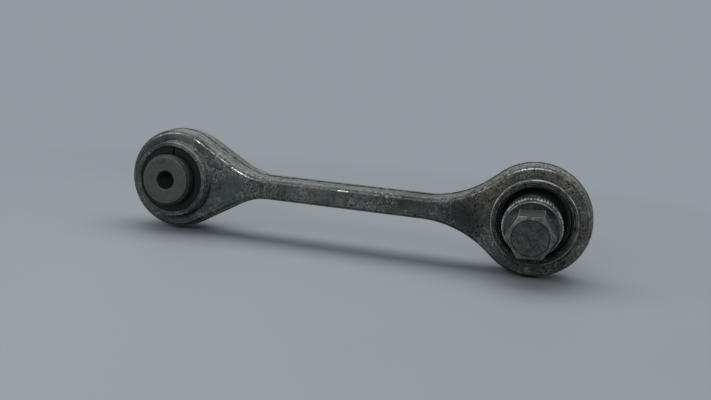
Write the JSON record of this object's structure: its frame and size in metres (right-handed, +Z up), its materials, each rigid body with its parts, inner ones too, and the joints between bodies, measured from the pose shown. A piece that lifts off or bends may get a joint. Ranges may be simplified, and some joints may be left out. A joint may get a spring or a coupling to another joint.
{
  "type": "lower control arm",
  "caption": "Forged dog-bone lower control arm with a rubber bush in one eye and a ball-sleeve joint, its flange bolt still in place, in the other.",
  "frame": {"origin": "centre of the inboard eye, on the parting plane of the forging", "axes": "+X from the inboard eye to the outboard eye, eye axes along Y with the front faces towards -Y, +Z up across the shank"},
  "size_m": [0.2581, 0.0937, 0.0592],
  "materials": {
    "forged_aluminium": "dull grey forged surface, corroded speckles",
    "bush_steel": "phosphated steel, matt warm grey",
    "joint_steel": "bright turned steel, dulled",
    "spring_steel": "blackened spring steel",
    "bolt_steel": "zinc flake coating, dull dark grey",
    "bush_rubber": "matt black",
    "boot_rubber": "satin black",
    "bearing_plastic": "natural acetal",
    "ring_plastic": "black glass-filled nylon"
  },
  "bodies": {
    "arm": {"arm_forging": "forged_aluminium", "bush_outer_sleeve": "spring_steel", "bush_rubber": "bush_rubber", "bush_end_ring_front": "ring_plastic", "bush_end_ring_rear": "ring_plastic", "joint_cartridge": "joint_steel", "bearing_shell_front": "bearing_plastic", "bearing_shell_rear": "bearing_plastic", "closing_ring": "joint_steel", "cartridge_circlip": "spring_steel", "boot_front": "boot_rubber", "boot_rear": "boot_rubber", "boot_ring_front": "spring_steel", "boot_ring_rear": "spring_steel"},
    "core": {"bush_core": "bush_steel"},
    "sleeve": {"ball_sleeve": "joint_steel", "boot_clamp_front": "spring_steel", "boot_clamp_rear": "spring_steel"},
    "bolt": {"flange_bolt": "bolt_steel"}
  },
  "joints": [
    {"name": "bush_twist", "type": "hinge", "parent": "arm", "child": "core", "pos_m": [0, 0, 0], "axis": [0, 1, 0], "range_deg": [-18, 18], "stiffness_Nm_per_rad": 30},
    {"name": "sleeve_tilt", "type": "hinge", "parent": "arm", "child": "sleeve", "pos_m": [0.2, 0, 0], "axis": [0.9563, 0, -0.2924], "range_deg": [-20, 4], "deforming": ["boot_front", "boot_rear"]},
    {"name": "bolt_turn", "type": "hinge", "parent": "sleeve", "child": "bolt", "pos_m": [0.2, 0, 0], "axis": [-0.0407, -0.9903, -0.1331], "continuous": true}
  ]
}
